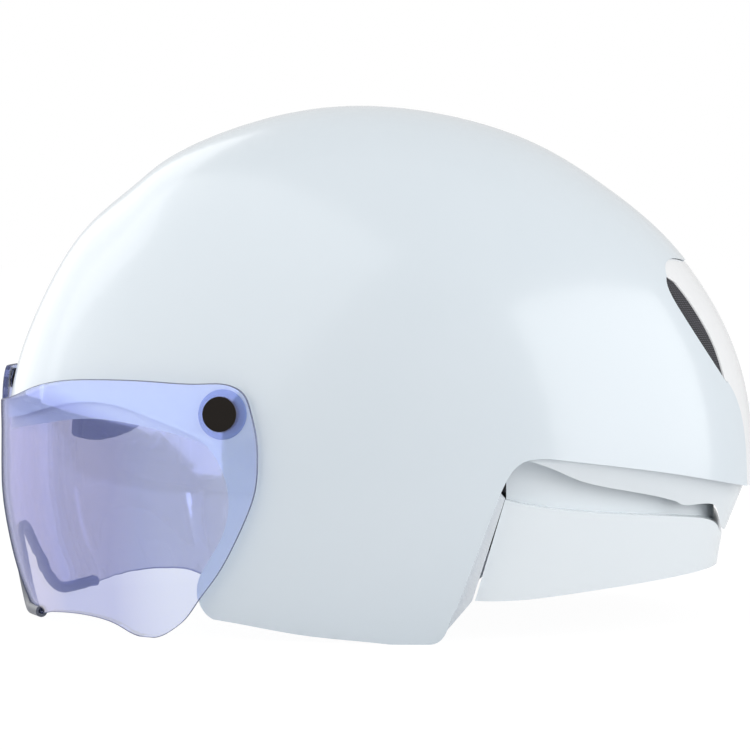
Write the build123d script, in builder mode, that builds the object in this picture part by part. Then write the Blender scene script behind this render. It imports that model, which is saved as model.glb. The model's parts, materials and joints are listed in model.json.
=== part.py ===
# Aero time trial helmet: a smooth shell over a foam liner, a clear visor held by magnets,
# a skirt round the neck, and the head cradle, pads and straps inside.
# The front is -Y, the wearer's left is +X, up is +Z, and the helmet stands on Z = 0.

from build123d import *
from math import copysign, cos, hypot, pi, sin
import os

os.makedirs("parts", exist_ok=True)

# Driving sizes of the shell, in millimetres
shell_length = 298.0  # brow to tail
shell_width = 195.6
crown_rise = 153.0  # crown above the eye line
eye_height = 48.1  # eye line above the table
dome_drop = 120.0  # lower half of the dome's full section, before its opening is cut
shell_wall = 2.0
insert_recess = 0.6  # tail insert below the shell's surface
joint_gap = 0.3  # between neighbouring covers
running_gap = 0.4  # round pieces that slide or turn
visor_lead = 3.0  # visor's nose ahead of the brow
cut_margin = 15.0  # overrun of every cutting tool
beyond_share = 0.5362  # a place clear of the shell's tail

half_width = shell_width / 2
shell_middle = (visor_lead + insert_recess) / 2  # centres the whole helmet on Y = 0
left_and_right = {"left": 1, "right": -1}

# The dome's stations from brow to tail: place along the length, crown height and half width
dome_shares = [
    (-0.5000, 0.170, 0.174),
    (-0.4933, 0.264, 0.266),
    (-0.4799, 0.379, 0.378),
    (-0.4567, 0.486, 0.496),
    (-0.4148, 0.633, 0.634),
    (-0.3540, 0.758, 0.769),
    (-0.2674, 0.884, 0.885),
    (-0.1594, 0.965, 0.965),
    (-0.0523, 1.000, 0.998),
    (0.0584, 0.988, 1.000),
    (0.1560, 0.943, 0.961),
    (0.2534, 0.855, 0.874),
    (0.3346, 0.743, 0.757),
    (0.3993, 0.622, 0.624),
    (0.4480, 0.484, 0.481),
    (0.4805, 0.340, 0.337),
    (0.4953, 0.209, 0.220),
    (0.5000, 0.126, 0.143),
]
section_power = 2.2  # 2 is an ellipse, more is squarer
section_points = 24


def along(share):
    """Y of a share of the shell's length, counted from its middle."""
    return shell_middle + share * shell_length


def level(share):
    """Z of a share: above the eye line of the crown's rise, below it of the height to the table."""
    if share < 0:
        return eye_height + share * eye_height
    return eye_height + share * crown_rise


def side_points(shares):
    return [(along(place), level(height)) for place, height in shares]


def front_points(shares):
    return [(across * half_width, level(height)) for across, height in shares]


def oval(half_x, rise, drop, power):
    """Points of a rounded closed section, from its lowest point round."""
    points = []
    for step in range(section_points):
        turn = 2 * pi * step / section_points - pi / 2
        reach = rise if sin(turn) > 0 else drop
        x = copysign(abs(cos(turn)) ** (2 / power), cos(turn)) * half_x
        y = copysign(abs(sin(turn)) ** (2 / power), sin(turn)) * reach
        points.append((x, y))
    return points


def facing(y, z=0):
    """A plane across the helmet, with its own X along X and its own Y up, facing forward."""
    return Plane((0, y, z), x_dir=(1, 0, 0), z_dir=(0, -1, 0))


def dome(inset, length=shell_length, width=shell_width, rise=crown_rise, drop=dome_drop, centre=shell_middle):
    """The shell's form, or one like it of other sizes, drawn in by an even inset."""
    with BuildPart() as form:
        for place, height, half in dome_shares:
            half_x = half * (width / 2 - inset)
            section = oval(half_x, height * (rise - inset), height * (drop - inset), section_power)
            with BuildSketch(facing(centre + place * (length - 2 * inset), eye_height)):
                with BuildLine():
                    Spline(*section, periodic=True)
                make_face()
        loft()
    return form.part


def prism(plane, curves, depth, both=False):
    """A prism on a closed outline. Each curve is a list of points: two make a straight line,
    and more make a smooth curve."""
    with BuildPart() as block:
        with BuildSketch(plane):
            with BuildLine():
                for points in curves:
                    if len(points) > 2:
                        Spline(*points)
                    else:
                        Line(*points)
            make_face()
        extrude(amount=depth, both=both)
    return block.part


def corners(*points):
    """Straight runs from point to point."""
    return [list(pair) for pair in zip(points, points[1:])]


def side_prism(curves, half=None):
    """A prism right across the helmet on a side outline, or on one side only, 1 or -1."""
    if half is None:
        return prism(Plane.YZ, curves, shell_width, both=True)
    return prism(Plane.YZ, curves, half * shell_width)


def common(*shapes):
    """What all the shapes share."""
    with BuildPart() as both:
        add(shapes[0])
        for shape in shapes[1:]:
            add(shape, mode=Mode.INTERSECT)
    return both.part


def difference(whole, *tools):
    with BuildPart() as rest:
        add(whole)
        for tool in tools:
            add(tool, mode=Mode.SUBTRACT)
    return rest.part


def save(piece, label):
    piece.part.label = label
    export_step(piece.part, f"parts/{label}.step")


# Edges of the shell in side view, as shares of its length and height
brow_edge_shares = [
    (-0.5362, 0.188),
    (-0.4993, 0.1915),
    (-0.4544, 0.207),
    (-0.4044, 0.235),
    (-0.3366, 0.2575),
    (-0.2762, 0.240),
    (-0.2242, 0.205),
    (-0.1906, 0.180),
    (-0.1720, 0.149),
    (-0.1570, 0.100),
    (-0.1490, 0.020),
    (-0.1554, -0.143),
    (-0.1742, -0.358),
    (-0.1893, -0.526),
    (-0.1916, -0.660),
    (-0.1852, -0.771),
    (-0.1721, -0.838),
]
sill_shares = [(-0.1721, -0.838), (-0.1265, -0.877), (-0.0617, -0.938), (0.0074, -0.975), (0.0510, -1.0)]
foot_shares = [(0.0510, -1.0), (0.0980, -1.0)]  # the flat that the helmet stands on
heel_shares = [(0.0980, -1.0), (0.1130, -0.965), (0.1248, -0.820), (0.1329, -0.715)]
cheek_back_shares = [(0.1329, -0.715), (0.1607, -0.258), (0.1826, 0.0314)]
arch_shares = [(0.1826, 0.0314), (0.1930, 0.080), (0.2130, 0.126), (0.2322, 0.1346), (0.2523, 0.1327)]
tail_edge_shares = [(0.2523, 0.1327), (0.3477, 0.1052), (0.4140, 0.080), (0.4822, 0.0431), (0.5309, 0.010)]
sky_shares = [(0.5309, 0.010), (0.5309, 1.1), (-0.5362, 1.1), (-0.5362, 0.188)]

outer_form = dome(0)
inner_form = dome(shell_wall)
shell_cover = side_prism(
    [
        side_points(brow_edge_shares),
        side_points(sill_shares),
        side_points(foot_shares),
        side_points(heel_shares),
        side_points(cheek_back_shares),
        side_points(arch_shares),
        side_points(tail_edge_shares),
        *corners(*side_points(sky_shares)),
    ]
)

# Tail insert and the two leaf-shaped vents beside it, seen from behind:
# shares of the half width and of the height
insert_start_share = 0.22  # the prisms for the tail start here, ahead of the insert
insert_top_shares = [(0.0, 0.606), (0.160, 0.605), (0.302, 0.598), (0.360, 0.566)]
insert_vent_shares = [
    (0.331, 0.549),
    (0.320, 0.508),
    (0.310, 0.451),
    (0.305, 0.401),
    (0.310, 0.353),
    (0.319, 0.307),
]
insert_skirt_shares = [(0.319, 0.307), (0.280, 0.261), (0.264, 0.178), (0.277, 0.046)]
insert_foot_shares = [(0.277, 0.046), (0.277, -0.5), (0.0, -0.5)]
vent_back_shares = [
    (0.366, 0.566),
    (0.404, 0.532),
    (0.413, 0.478),
    (0.399, 0.413),
    (0.372, 0.358),
    (0.326, 0.299),
]
vent_front_shares = [(0.326, 0.299), (0.295, 0.310), (0.295, 0.572), (0.366, 0.566)]
insert_centre_share = (0.0, 0.310)
vent_centre_share = (0.350, 0.440)
duct_margin = 4.0  # the liner's duct beyond the vent's edge
mesh_recess = 1.0  # vent mesh below the shell's surface
mesh_thickness = 0.8

tail_plane = Plane((0, along(insert_start_share), 0), x_dir=(-1, 0, 0), z_dir=(0, 1, 0))
tail_depth = shell_length


def grown(points, centre, gap):
    """The points moved straight away from a centre."""
    moved = []
    for x, z in points:
        reach = hypot(x - centre[0], z - centre[1])
        moved.append((x + (x - centre[0]) * gap / reach, z + (z - centre[1]) * gap / reach))
    return moved


def insert_prism(gap):
    centre = front_points([insert_centre_share])[0]
    top, vent_side, skirt, foot = (
        grown(front_points(shares), centre, gap)
        for shares in (insert_top_shares, insert_vent_shares, insert_skirt_shares, insert_foot_shares)
    )
    with BuildPart() as block:
        with BuildSketch(tail_plane):
            with BuildLine():
                Spline(*top)
                Line(top[-1], vent_side[0])
                Spline(*vent_side)
                Spline(*skirt)
                Polyline(*foot)
                mirror(about=Plane.YZ)
            make_face()
        extrude(amount=tail_depth)
    return block.part


def vent_prism(hand, margin):
    """One vent, on the wearer's left for 1 and right for -1."""
    centre = front_points([vent_centre_share])[0]
    back = grown(front_points(vent_back_shares), centre, margin)
    front = grown(front_points(vent_front_shares), centre, margin)
    with BuildPart() as block:
        with BuildSketch(tail_plane):
            with BuildLine():
                Spline(*[(-hand * x, z) for x, z in back])
                Polyline(*[(-hand * x, z) for x, z in front])
            make_face()
        extrude(amount=tail_depth)
    return block.part


insert_body = insert_prism(0)
insert_bed = insert_prism(joint_gap)
insert_inner_form = dome(insert_recess + shell_wall)
vents = {side: vent_prism(hand, 0) for side, hand in left_and_right.items()}
ducts = {side: vent_prism(hand, duct_margin) for side, hand in left_and_right.items()}

# Visor: rounded plan sections, centred behind the face, stacked from the chin to above the brow
visor_wall = 2.0
visor_gap = 1.0  # least space between the visor and the shell's sides
visor_power = 2.1
visor_centre = along(-0.0732)
visor_reach = visor_centre - along(-0.5) + visor_lead
visor_half_width = half_width + visor_gap + visor_wall
# height, half width and forward reach of each section
visor_section_shares = [
    (-1.040, 0.934, 0.911),
    (-0.644, 0.968, 0.952),
    (-0.457, 0.980, 0.970),
    (-0.208, 0.992, 0.988),
    (0.000, 0.995, 0.9975),
    (0.085, 0.990, 1.000),
    (0.240, 0.976, 1.000),
    (0.301, 0.966, 0.994),
    (0.345, 0.960, 0.988),
]


def visor_sizes(height_share, inset):
    """Half width and forward reach of the visor's plan section at a height."""
    below = [row for row in visor_section_shares if row[0] <= height_share][-1]
    above = [row for row in visor_section_shares if row[0] > height_share][0]
    part_share = (height_share - below[0]) / (above[0] - below[0])
    width_share = below[1] + part_share * (above[1] - below[1])
    reach_share = below[2] + part_share * (above[2] - below[2])
    return visor_half_width * width_share - inset, visor_reach * reach_share - inset


def visor_form(inset):
    with BuildPart() as form:
        for height, width_share, reach_share in visor_section_shares:
            half_x = visor_half_width * width_share - inset
            reach = visor_reach * reach_share - inset
            with BuildSketch(Plane((0, visor_centre, level(height)))):
                with BuildLine():
                    Spline(*oval(half_x, reach, reach, visor_power), periodic=True)
                make_face()
        loft()
    return form.part


def visor_y(x, height_share, inset):
    """Y of the visor's front at a place across it."""
    half_x, reach = visor_sizes(height_share, inset)
    return visor_centre - reach * (1 - (abs(x) / half_x) ** visor_power) ** (1 / visor_power)


def visor_x(y, height_share, inset):
    half_x, reach = visor_sizes(height_share, inset)
    return half_x * (1 - ((visor_centre - y) / reach) ** visor_power) ** (1 / visor_power)


visor_top_shares = [
    (-0.5362, 0.2340),
    (-0.5090, 0.2353),
    (-0.4842, 0.2471),
    (-0.4574, 0.2627),
    (-0.4292, 0.2843),
    (-0.3846, 0.3060),
    (-0.3201, 0.3150),
    (-0.2507, 0.3144),
    (-0.1846, 0.3111),
    (-0.1487, 0.3090),
    (-0.1295, 0.2876),
    (-0.1205, 0.2471),
    (-0.1128, 0.1804),
    (-0.1114, 0.1203),
    (-0.1138, 0.0608),
    (-0.1262, -0.0370),
    (-0.1430, -0.2560),
    (-0.1658, -0.4950),
    (-0.1899, -0.6900),
    (-0.2081, -0.8400),
    (-0.2260, -0.9300),
    (-0.2400, -0.9800),
    (-0.2560, -1.0),
]
visor_foot_shares = [(-0.2560, -1.0), (-0.2660, -1.0)]
visor_sill_shares = [
    (-0.2660, -1.0),
    (-0.2830, -0.975),
    (-0.3000, -0.925),
    (-0.3332, -0.878),
    (-0.3674, -0.873),
    (-0.4050, -0.900),
]
visor_chin_shares = [(-0.4050, -0.900), (-0.4423, -0.975), (-0.5362, -0.975), (-0.5362, 0.2340)]
tab_half_width = 12.0
tab_corner = 5.0
tab_top_share = 0.322
tab_root_share = 0.200

# Nose cut-out in front view: shares of the half width and of the height, right round its corners
nose_shares = [(0.470, -0.930), (0.335, -0.945), (0.200, -0.945), (0.062, -0.350)]
nose_radii = [30.0, 16.0, 5.5]
trim_radius = 2.3
trim_bore = 1.2

nose_right = front_points(nose_shares)
nose_corners = nose_right + [(-x, z) for x, z in reversed(nose_right)]
nose_bends = nose_radii + nose_radii[::-1]
nose_heights = [height for across, height in nose_shares]
nose_heights = nose_heights + nose_heights[::-1]

visor_outer = visor_form(0)
visor_inner = visor_form(visor_wall)
visor_cover = side_prism(
    [
        side_points(visor_top_shares),
        side_points(visor_foot_shares),
        side_points(visor_sill_shares),
        *corners(*side_points(visor_chin_shares)),
    ]
)
visor_front_plane = facing(along(-0.5) - visor_lead - cut_margin)

with BuildPart() as tab_block:
    with BuildSketch(visor_front_plane):
        with BuildLine():
            Polyline(
                (tab_half_width, level(tab_root_share)),
                (tab_half_width, level(tab_top_share)),
                (-tab_half_width, level(tab_top_share)),
                (-tab_half_width, level(tab_root_share)),
                close=True,
            )
        tab_face = make_face()
        fillet(tab_face.vertices().group_by(Axis.Y)[-1], radius=tab_corner)
    extrude(amount=-half_width)

with BuildPart() as nose_block:
    with BuildSketch(visor_front_plane):
        with BuildLine():
            FilletPolyline(*nose_corners, radius=nose_bends)
            Polyline(
                nose_corners[-1],
                (nose_corners[-1][0], -cut_margin),
                (nose_corners[0][0], -cut_margin),
                nose_corners[0],
            )
        make_face()
    extrude(amount=-half_width)

# Visor magnets sit in holes through the lens, and meet sockets that stand in the shell
magnet_radius = 6.5
magnet_proud = 0.6  # beyond the lens's outer face
magnet_behind = 1.1  # beyond its inner face
socket_radius = 9.3
socket_height = 5.0
front_magnet_radius = 4.0
front_socket_radius = 5.6
magnet_place_share = -0.1594
magnet_height_share = 0.240
front_magnet_share = 0.288
magnet_span_share = 0.046  # the lens's lean is taken this far below and above a magnet


def magnet_plane(hand):
    """On the lens's outer face, looking straight out of it."""
    half_x, reach = visor_sizes(magnet_height_share, 0)
    y = along(magnet_place_share)
    x = visor_x(y, magnet_height_share, 0)
    x_below = visor_x(y, magnet_height_share - magnet_span_share, 0)
    x_above = visor_x(y, magnet_height_share + magnet_span_share, 0)
    lean = (x_below - x_above) / (2 * magnet_span_share * crown_rise)
    out_x = (x / half_x) ** (visor_power - 1) / half_x
    out_y = ((visor_centre - y) / reach) ** (visor_power - 1) / reach
    out = (hand * out_x, -out_y, lean * out_x)
    return Plane((hand * x, y, level(magnet_height_share)), x_dir=(0, 0, 1), z_dir=out)


def front_magnet_plane():
    y_below = visor_y(0, front_magnet_share - magnet_span_share, 0)
    y_above = visor_y(0, front_magnet_share + magnet_span_share, 0)
    lean = (y_above - y_below) / (2 * magnet_span_share * crown_rise)
    y = visor_y(0, front_magnet_share, 0)
    return Plane((0, y, level(front_magnet_share)), x_dir=(1, 0, 0), z_dir=(0, -1, lean))


magnet_planes = {side: magnet_plane(hand) for side, hand in left_and_right.items()}
magnet_planes["front"] = front_magnet_plane()
magnet_radii = {"left": magnet_radius, "right": magnet_radius, "front": front_magnet_radius}
socket_radii = {"left": socket_radius, "right": socket_radius, "front": front_socket_radius}
magnet_depth = visor_wall + magnet_behind  # below the lens's outer face
sockets = {}

for place, plane in magnet_planes.items():
    with BuildPart() as visor_magnet:
        with BuildSketch(plane.offset(-magnet_depth)):
            Circle(magnet_radii[place])
        extrude(amount=magnet_depth + magnet_proud)
        fillet(visor_magnet.edges().sort_by(Axis(plane.origin, plane.z_dir))[-1], radius=magnet_proud / 2)
    save(visor_magnet, f"visor_magnet_{place}")

    with BuildPart() as socket:
        with BuildSketch(plane.offset(-magnet_depth - running_gap)):
            Circle(socket_radii[place])
        extrude(amount=-socket_height)
        fillet(socket.edges().sort_by(Axis(plane.origin, plane.z_dir))[-1], radius=magnet_proud)
    save(socket, f"shell_socket_{place}")
    sockets[place] = socket.part

with BuildPart() as visor_lens:
    add(visor_cover)
    add(tab_block.part)
    add(visor_outer, mode=Mode.INTERSECT)
    add(visor_inner, mode=Mode.SUBTRACT)
    add(nose_block.part, mode=Mode.SUBTRACT)
    for place, plane in magnet_planes.items():
        with BuildSketch(plane.offset(magnet_proud)):
            Circle(magnet_radii[place])
        extrude(amount=-magnet_depth - magnet_proud, mode=Mode.SUBTRACT)
save(visor_lens, "visor_lens")

with BuildPart() as nose_trim:
    with BuildLine():
        trim_path = FilletPolyline(
            *[
                (x, visor_y(x, height, visor_wall / 2), z)
                for (x, z), height in zip(nose_corners, nose_heights)
            ],
            radius=nose_bends,
        )
    with BuildSketch(Plane(trim_path @ 0, z_dir=trim_path % 0)):
        Circle(trim_radius)
        Circle(trim_bore, mode=Mode.SUBTRACT)
    sweep()
    add(visor_lens.part, mode=Mode.SUBTRACT)
save(nose_trim, "nose_trim")

# Shell, tail insert and vent meshes
with BuildPart() as outer_shell:
    add(outer_form)
    add(shell_cover, mode=Mode.INTERSECT)
    add(inner_form, mode=Mode.SUBTRACT)
    add(insert_bed, mode=Mode.SUBTRACT)
    for vent in vents.values():
        add(vent, mode=Mode.SUBTRACT)
    for socket_solid in sockets.values():
        add(socket_solid, mode=Mode.SUBTRACT)
save(outer_shell, "outer_shell")

with BuildPart() as tail_insert:
    add(dome(insert_recess))
    add(insert_body, mode=Mode.INTERSECT)
    add(insert_inner_form, mode=Mode.SUBTRACT)
    add(shell_cover, mode=Mode.INTERSECT)
save(tail_insert, "tail_insert")

mesh_form = difference(dome(mesh_recess), dome(mesh_recess + mesh_thickness))
for side, vent in vents.items():
    with BuildPart() as vent_mesh:
        add(mesh_form)
        add(vent, mode=Mode.INTERSECT)
        add(insert_bed, mode=Mode.SUBTRACT)
    save(vent_mesh, f"vent_mesh_{side}")

# Foam liner round the head, down to a flat edge above the ears
head_length = 198.0
head_width = 158.0
head_rise = 131.0
head_depth = 400.0  # keeps the hollow's sides nearly upright below the eye line
head_centre_share = -0.0832
channel_width = 14.0
channel_depth = 6.0
channel_spacing = 34.0
channel_sides = [-1, 0, 1]
liner_edge_share = 0.1438
liner_brow_shares = [
    (-0.5362, 0.1503),
    (-0.5094, 0.1536),
    (-0.4557, 0.1765),
    (-0.4087, 0.1961),
    (-0.3349, 0.2157),
    (-0.2745, 0.2059),
    (-0.2242, 0.1882),
    (-0.1906, 0.1700),
    (-0.1638, 0.1438),
]
liner_back_shares = [(-0.1638, 0.1438), (0.5362, 0.1438), (0.5362, 1.1), (-0.5362, 1.1), (-0.5362, 0.1503)]


def head(inset):
    """The hollow for the head, drawn in by an even inset."""
    return dome(inset, head_length, head_width, head_rise, head_depth, along(head_centre_share))


head_form = head(0)
channel_form = head(-channel_depth)
liner_floor = level(liner_edge_share)

with BuildPart() as channels:
    with BuildSketch(Plane.XY.offset(liner_floor)):
        for place in channel_sides:
            with Locations((place * channel_spacing, along(head_centre_share))):
                Rectangle(channel_width, shell_length)
    extrude(amount=crown_rise)
    add(channel_form, mode=Mode.INTERSECT)

liner_cover = side_prism([side_points(liner_brow_shares), *corners(*side_points(liner_back_shares))])
insert_seat = difference(insert_bed, insert_inner_form)

with BuildPart() as liner:
    add(inner_form)
    add(liner_cover, mode=Mode.INTERSECT)
    add(head_form, mode=Mode.SUBTRACT)
    add(channels.part, mode=Mode.SUBTRACT)
    add(insert_seat, mode=Mode.SUBTRACT)
    for duct in ducts.values():
        add(duct, mode=Mode.SUBTRACT)
    for socket_solid in sockets.values():
        add(socket_solid, mode=Mode.SUBTRACT)
save(liner, "liner")

# Foam inside the cheek covers. It shows as a narrow strip behind each cover.
cheek_foam = 6.0
cheek_front_shares = [
    (-0.1638, 0.1438),
    (-0.1490, 0.100),
    (-0.1395, 0.020),
    (-0.1450, -0.135),
    (-0.1640, -0.355),
    (-0.1785, -0.520),
    (-0.1800, -0.660),
    (-0.1740, -0.760),
    (-0.1620, -0.808),
]
cheek_sill_shares = [
    (-0.1620, -0.808),
    (-0.0617, -0.900),
    (0.0510, -0.970),
    (0.1000, -0.965),
    (0.1150, -0.930),
]
cheek_strip_shares = [
    (0.1150, -0.930),
    (0.1500, -0.672),
    (0.1905, 0.037),
    (0.1850, 0.050),
    (0.1780, 0.1438),
]
cheek_top_shares = [(0.1780, 0.1438), (-0.1638, 0.1438)]

cheek_ring = difference(inner_form, dome(shell_wall + cheek_foam))
cheek_curves = [
    side_points(cheek_front_shares),
    side_points(cheek_sill_shares),
    *corners(*side_points(cheek_strip_shares)),
    *corners(*side_points(cheek_top_shares)),
]
for side, hand in left_and_right.items():
    with BuildPart() as cheek_liner:
        add(cheek_ring)
        add(side_prism(cheek_curves, hand), mode=Mode.INTERSECT)
    save(cheek_liner, f"cheek_liner_{side}")

# Behind the cheeks: a ledge that rolls in under the shell's edge, a recess, and the neck skirt
skirt_wall = 2.2
widest_row = 9  # the dome's widest station
ledge_top = (2.6, -2.0)  # drawn in at the sides, and short of the tail
ledge_foot = (16.0, 12.2)
ledge_foot_share = -0.291
recess_inset = (12.0, 16.0)
skirt_top = (6.5, 9.5)
skirt_foot = (9.5, 16.5)
skirt_top_share = 0.040
skirt_foot_share = -0.760
neck_foam = 7.0
neck_foam_inset = (14.4, 19.6)
neck_foam_foot_share = -0.500
ledge_edge_shares = [
    (0.2000, 0.1400),
    (0.2297, 0.1227),
    (0.2514, 0.1058),
    (0.2789, 0.0791),
    (0.3117, 0.0593),
    (0.3519, 0.0412),
    (0.4001, 0.0125),
]
ledge_tail_shares = [(0.4001, 0.0125), (0.4289, 0.0011), (0.4470, -0.020), (0.4520, -0.094), (0.4590, -0.255)]
skirt_edge_shares = [
    (0.1905, 0.0340),
    (0.2314, 0.0147),
    (0.2785, 0.0013),
    (0.3272, -0.0311),
    (0.3665, -0.0557),
    (0.4037, -0.0861),
    (0.4289, -0.1140),
]
skirt_step_shares = [
    (0.4289, -0.1140),
    (0.4417, -0.1467),
    (0.4495, -0.1876),
    (0.4548, -0.2688),
    (0.4800, -0.3300),
]
skirt_hem_shares = [(0.1535, -0.672), (0.1846, -0.680), (0.2809, -0.636), (0.3809, -0.578), (0.4800, -0.530)]


def skirt_outline(drawn_in, short):
    """Plan outline from the widest station back, with a straight front and a straight tail."""
    front = along(dome_shares[widest_row][0])
    stretch = (along(0.5) - short - front) / (along(0.5) - front)
    edge = [
        (half * (half_width - drawn_in), front + (along(place) - front) * stretch)
        for place, height, half in dome_shares[widest_row:]
    ]
    mirrored = [(-x, y) for x, y in reversed(edge)]
    Spline(*edge)
    Line(edge[-1], mirrored[0])
    Spline(*mirrored)
    Line(mirrored[-1], edge[0])


def skirt_block(top, top_z, foot, foot_z, inset=0):
    """A solid between two plan outlines, each drawn in further by the inset."""
    with BuildPart() as block:
        for (drawn_in, short), z in ((foot, foot_z), (top, top_z)):
            with BuildSketch(Plane.XY.offset(z)):
                with BuildLine():
                    skirt_outline(drawn_in + inset, short + inset)
                make_face()
        loft(ruled=True)
    return block.part


def skirt_ring(top, top_z, foot, foot_z, wall):
    return difference(skirt_block(top, top_z, foot, foot_z), skirt_block(top, top_z, foot, foot_z, wall))


ledge_low = level(ledge_foot_share)
skirt_high = level(skirt_top_share)
skirt_low = level(skirt_foot_share)
ledge_edge_points = side_points(ledge_edge_shares)
ledge_tail_points = side_points(ledge_tail_shares)
ledge_curves = [
    ledge_edge_points,
    ledge_tail_points,
    *corners(
        ledge_tail_points[-1],
        (along(beyond_share), ledge_low),
        (along(beyond_share), liner_floor),
        (ledge_edge_points[0][0], liner_floor),
        ledge_edge_points[0],
    ),
]
with BuildPart() as tail_ledge:
    add(skirt_ring(ledge_top, liner_floor, ledge_foot, ledge_low, skirt_wall))
    add(side_prism(ledge_curves), mode=Mode.INTERSECT)
    add(insert_inner_form, mode=Mode.INTERSECT)
    for cheek_half in (1, -1):
        add(side_prism(cheek_curves, cheek_half), mode=Mode.SUBTRACT)
save(tail_ledge, "tail_ledge")

skirt_edge_points = side_points(skirt_edge_shares)
skirt_step_points = side_points(skirt_step_shares)
skirt_hem_points = side_points(skirt_hem_shares)
skirt_shelf = 2.0


def lowered(points, drop):
    return [(y, z - drop) for y, z in points]


upper_curves = [
    lowered(skirt_edge_points, skirt_shelf),
    lowered(skirt_step_points, skirt_shelf),
    *corners(
        lowered(skirt_step_points, skirt_shelf)[-1],
        (along(beyond_share), skirt_step_points[-1][1] - skirt_shelf),
        (along(beyond_share), liner_floor),
        (skirt_edge_points[0][0], liner_floor),
        lowered(skirt_edge_points, skirt_shelf)[0],
    ),
]
lower_curves = [
    skirt_edge_points,
    skirt_step_points,
    *corners(skirt_step_points[-1], skirt_hem_points[-1]),
    skirt_hem_points[::-1],
    *corners(skirt_hem_points[0], skirt_edge_points[0]),
]
shelf_curves = [
    skirt_edge_points,
    skirt_step_points,
    *corners(skirt_step_points[-1], lowered(skirt_step_points, skirt_shelf)[-1]),
    lowered(skirt_step_points, skirt_shelf)[::-1],
    lowered(skirt_edge_points, skirt_shelf)[::-1],
    *corners(lowered(skirt_edge_points, skirt_shelf)[0], skirt_edge_points[0]),
]
recess_block = skirt_block(recess_inset, liner_floor, recess_inset, skirt_low)
recess_inner = skirt_block(recess_inset, liner_floor, recess_inset, skirt_low, skirt_wall)
recess_ring = difference(recess_block, recess_inner)
upper_wall = common(recess_ring, side_prism(upper_curves))
lower_ring = skirt_ring(skirt_top, skirt_high, skirt_foot, skirt_low, skirt_wall)
lower_block = skirt_block(skirt_top, skirt_high, skirt_foot, skirt_low)
lower_wall = common(lower_ring, side_prism(lower_curves))
shelf_block = common(lower_block, side_prism(shelf_curves))
with BuildPart() as neck_skirt:
    add(lower_wall)
    add(upper_wall)
    add(difference(shelf_block, recess_inner))
save(neck_skirt, "neck_skirt")

neck_foam_low = level(neck_foam_foot_share)
with BuildPart() as neck_liner:
    add(skirt_ring(neck_foam_inset, liner_floor, neck_foam_inset, neck_foam_low, neck_foam))
    with BuildSketch(Plane.XY.offset(neck_foam_low)):
        with Locations((0, skirt_edge_points[0][0] - shell_length / 2)):
            Rectangle(shell_width, shell_length)
    extrude(amount=crown_rise, mode=Mode.SUBTRACT)
save(neck_liner, "neck_liner")

# Comfort pads on the liner
pad_thickness = 6.0
pad_ring = difference(head_form, head(pad_thickness))
brow_pad_shares = [(-0.450, 0.158), (-0.400, 0.143), (-0.350, 0.143), (-0.310, 0.160), (-0.265, 0.215)]
brow_pad_rim_shares = [(-0.265, 0.215), (-0.265, 0.300), (-0.450, 0.300), (-0.450, 0.158)]
crown_pad_shares = [(-0.25, 0.5), (0.02, 0.5), (0.02, 1.0), (-0.25, 1.0), (-0.25, 0.5)]
crown_pad_width = 44.0
temple_pad_shares = [(-0.20, 0.22), (0.00, 0.22), (0.00, 0.42), (-0.20, 0.42), (-0.20, 0.22)]
back_pad_shares = [(0.06, 0.25), (0.20, 0.25), (0.20, 0.45), (0.06, 0.45), (0.06, 0.25)]
back_pad_width = 70.0

with BuildPart() as brow_pad:
    add(pad_ring)
    add(
        side_prism([side_points(brow_pad_shares), *corners(*side_points(brow_pad_rim_shares))]),
        mode=Mode.INTERSECT,
    )
save(brow_pad, "brow_pad")

for label, shares, width in (
    ("crown_pad", crown_pad_shares, crown_pad_width),
    ("back_pad", back_pad_shares, back_pad_width),
):
    with BuildPart() as middle_pad:
        add(pad_ring)
        add(
            prism(Plane.YZ, corners(*side_points(shares)), width / 2, both=True),
            mode=Mode.INTERSECT,
        )
    save(middle_pad, label)

for side, hand in left_and_right.items():
    with BuildPart() as temple_pad:
        add(pad_ring)
        add(side_prism(corners(*side_points(temple_pad_shares)), hand), mode=Mode.INTERSECT)
    save(temple_pad, f"temple_pad_{side}")

# Head cradle: a yoke round the nape with straight arms that slide in two guides,
# and a dial at the back that draws it forward
yoke_radius = 79.5  # outer, round the nape
yoke_wall = 2.2
yoke_centre_share = 0.0208
yoke_height = 22.0
yoke_low_share = -0.330
arm_height = 8.0
arm_middle_share = 0.0  # the arms run at the eye line
arm_length = 34.0  # ahead of the yoke's centre
guide_length = 20.0
guide_wall = 1.4
guide_flange = 6.0
cradle_travel = 14.0
yoke_rear_reach = 30.0  # the tall part of the yoke starts this far behind its centre

yoke_y = along(yoke_centre_share)
yoke_low = level(yoke_low_share)
arm_low = level(arm_middle_share) - arm_height / 2
yoke_inner = yoke_radius - yoke_wall


def yoke_outline(outer, inner):
    """Plan of the yoke's band: a half circle with two straight arms."""
    front = yoke_y - arm_length
    Line((outer, front), (outer, yoke_y))
    ThreePointArc((outer, yoke_y), (0, yoke_y + outer), (-outer, yoke_y))
    Polyline((-outer, yoke_y), (-outer, front), (-inner, front), (-inner, yoke_y))
    ThreePointArc((-inner, yoke_y), (0, yoke_y + inner), (inner, yoke_y))
    Polyline((inner, yoke_y), (inner, front), (outer, front))


with BuildPart() as cradle_yoke:
    with BuildSketch(Plane.XY.offset(arm_low)):
        with BuildLine():
            yoke_outline(yoke_radius, yoke_inner)
        make_face()
    extrude(amount=arm_height)
    with BuildSketch(Plane.XY.offset(yoke_low)):
        with BuildLine():
            yoke_outline(yoke_radius, yoke_inner)
        make_face()
        with Locations((0, yoke_y + yoke_rear_reach - shell_length / 2)):
            Rectangle(shell_width, shell_length, mode=Mode.SUBTRACT)
    extrude(amount=yoke_height)
save(cradle_yoke, "cradle_yoke")

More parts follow.
